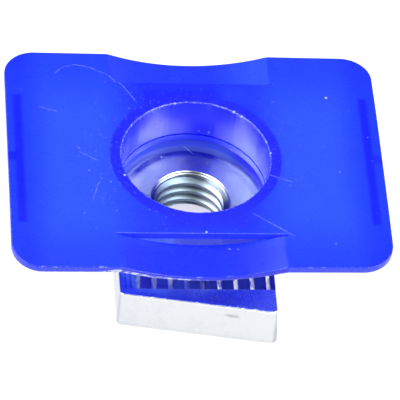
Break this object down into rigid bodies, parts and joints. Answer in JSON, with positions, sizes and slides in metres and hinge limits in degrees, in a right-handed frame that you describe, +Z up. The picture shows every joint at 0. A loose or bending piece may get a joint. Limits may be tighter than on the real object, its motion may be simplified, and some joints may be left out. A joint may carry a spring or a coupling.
{
  "type": "channel nut",
  "caption": "Zinc-plated steel channel nut with slanted ends, serrated lip seats and a metric tapped hole, hung in a moulded blue retainer plate with a tube and bowed leaf springs.",
  "frame": {"origin": "on the thread axis, at the nut's underside", "axes": "+Z up along the thread axis towards the retainer plate, +X along the channel and the plate's long side, +Y across the channel"},
  "size_m": [0.047, 0.0372, 0.0142],
  "materials": {
    "blue_plastic": "translucent saturated blue moulded plastic, satin gloss, lightly scuffed",
    "zinc_steel": "bright zinc plating, satin, with faint drawn marks"
  },
  "bodies": {
    "root": {"plastic_retainer": "blue_plastic", "steel_nut": "zinc_steel"}
  },
  "joints": []
}
